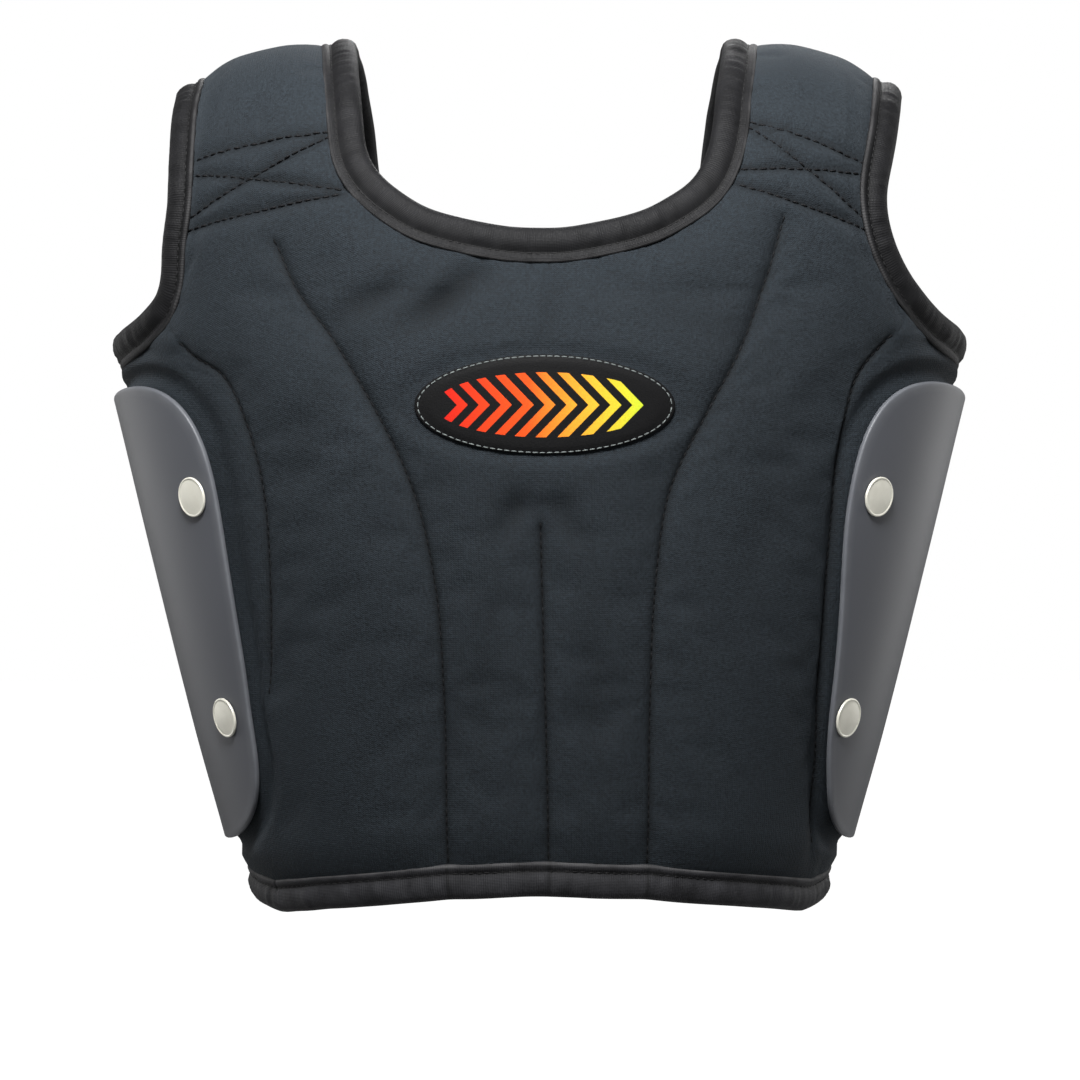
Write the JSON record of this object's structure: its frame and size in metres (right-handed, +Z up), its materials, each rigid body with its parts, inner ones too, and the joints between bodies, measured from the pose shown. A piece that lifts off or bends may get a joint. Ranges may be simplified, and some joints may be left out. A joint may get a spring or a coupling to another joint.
{
  "type": "padded rib protector vest",
  "caption": "Sleeveless padded vest for the chest, ribs and shoulders, with taped edges, curved plates riveted over the flanks and an oval chest patch.",
  "frame": {"origin": "midway between the shoulders, at the height where the undersides of the shoulder straps rest on them", "axes": "+Z up, -Y towards the front of the chest, +X towards the wearer's left"},
  "size_m": [0.3612, 0.2356, 0.3652],
  "materials": {
    "fabric": "fine blue-black knitted fabric over foam",
    "tape": "matt dark grey woven tape",
    "loop": "black loop tape",
    "plate": "satin dark grey moulded plastic",
    "rivet": "pale warm nickel",
    "patch": "black patch with a pale stitched rim and red, orange and yellow stripes"
  },
  "bodies": {
    "root": {"front_panel": "fabric", "back_panel": "fabric", "neck_tape": "tape", "armhole_tape_left": "tape", "armhole_tape_right": "tape", "hem_tape_front": "tape", "hem_tape_back": "tape", "flank_plate_left": "plate", "flank_plate_right": "plate", "loop_field_left": "loop", "loop_field_right": "loop", "rivet_left_upper": "rivet", "rivet_left_lower": "rivet", "rivet_right_upper": "rivet", "rivet_right_lower": "rivet", "chest_patch": "patch"}
  },
  "joints": []
}
